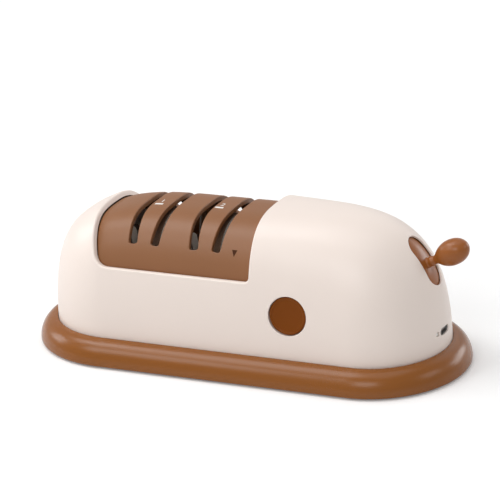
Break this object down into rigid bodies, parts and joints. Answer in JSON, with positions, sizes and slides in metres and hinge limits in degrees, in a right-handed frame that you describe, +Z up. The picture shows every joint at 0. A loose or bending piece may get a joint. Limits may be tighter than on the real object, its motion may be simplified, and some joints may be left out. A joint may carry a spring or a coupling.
{
  "type": "electric knife sharpener",
  "caption": "Electric knife sharpener: domed cream housing on a brown bullnosed base, lift-off cover with tilted blade slots over abrasive wheels, side push button and nose lever.",
  "frame": {"origin": "centre of the bounding box in plan, on the surface the feet stand on", "axes": "+X along the body to the lever at the nose, -Y the front with the push button, +Z up"},
  "size_m": [0.2436, 0.1028, 0.0829],
  "materials": {
    "shell_cream": "satin",
    "base_caramel": "satin",
    "cover_caramel": "satin",
    "button_caramel": "satin",
    "lever_caramel": "satin",
    "foot_rubber": "matt",
    "inner_plastic": "matt",
    "guide_steel": "rolled",
    "shaft_steel": "ground",
    "strap_steel": "zinc plated",
    "motor_can": "plated",
    "turned_brass": "turned",
    "coarse_abrasive": "coarse grit",
    "fine_abrasive": "fine grit",
    "cell_sleeve": "plastic sleeve",
    "board_green": "satin",
    "socket_steel": "plated",
    "lamp_lens": "clear",
    "screw_steel": "zinc plated"
  },
  "bodies": {
    "sharpener_body": {"main_housing": "shell_cream", "base_tray": "base_caramel", "rubber_foot_1": "foot_rubber", "rubber_foot_2": "foot_rubber", "rubber_foot_3": "foot_rubber", "rubber_foot_4": "foot_rubber", "chassis": "inner_plastic", "button_switch": "inner_plastic", "lever_rail": "inner_plastic", "slide_switch": "inner_plastic", "blade_guide_1": "guide_steel", "blade_guide_2": "guide_steel", "blade_guide_3": "guide_steel", "blade_guide_4": "guide_steel", "left_bearing": "shaft_steel", "right_bearing": "shaft_steel", "motor_clamp": "strap_steel", "drive_motor": "motor_can", "battery_cell_1": "cell_sleeve", "battery_cell_2": "cell_sleeve", "control_board": "board_green", "charge_board": "board_green", "button_board": "board_green", "usb_port": "socket_steel", "charge_lamp": "lamp_lens", "housing_screw_1": "screw_steel", "housing_screw_2": "screw_steel", "housing_screw_3": "screw_steel", "housing_screw_4": "screw_steel", "housing_screw_5": "screw_steel", "housing_screw_6": "screw_steel", "chassis_screw_1": "screw_steel", "chassis_screw_2": "screw_steel", "chassis_screw_3": "screw_steel", "chassis_screw_4": "screw_steel", "clamp_screw_1": "screw_steel", "clamp_screw_2": "screw_steel"},
    "slot_cover": {"slot_cover": "cover_caramel"},
    "power_button": {"power_button": "button_caramel", "button_plunger": "inner_plastic"},
    "switch_lever": {"switch_lever": "lever_caramel"},
    "wheel_spindle": {"spindle": "shaft_steel", "coarse_wheel": "coarse_abrasive", "fine_wheel": "fine_abrasive", "coarse_wheel_hub": "turned_brass", "fine_wheel_hub": "turned_brass", "left_spacer": "shaft_steel", "middle_spacer": "shaft_steel", "right_spacer": "shaft_steel", "shaft_coupler": "turned_brass", "motor_shaft": "shaft_steel"}
  },
  "joints": [
    {"name": "cover_lift", "type": "slide", "parent": "sharpener_body", "child": "slot_cover", "axis": [0, 0, 1], "range_m": [0, 0.04]},
    {"name": "button_press", "type": "slide", "parent": "sharpener_body", "child": "power_button", "axis": [0, 1, 0], "range_m": [0, 0.0015], "stiffness_N_per_m": 300},
    {"name": "lever_swing", "type": "hinge", "parent": "sharpener_body", "child": "switch_lever", "pos_m": [0.0627, 0, 0.03709], "axis": [0, 1, 0], "range_deg": [-10, 10]},
    {"name": "wheel_spin", "type": "hinge", "parent": "sharpener_body", "child": "wheel_spindle", "pos_m": [-0.02925, 0, 0.0516], "axis": [1, 0, 0], "continuous": true}
  ]
}
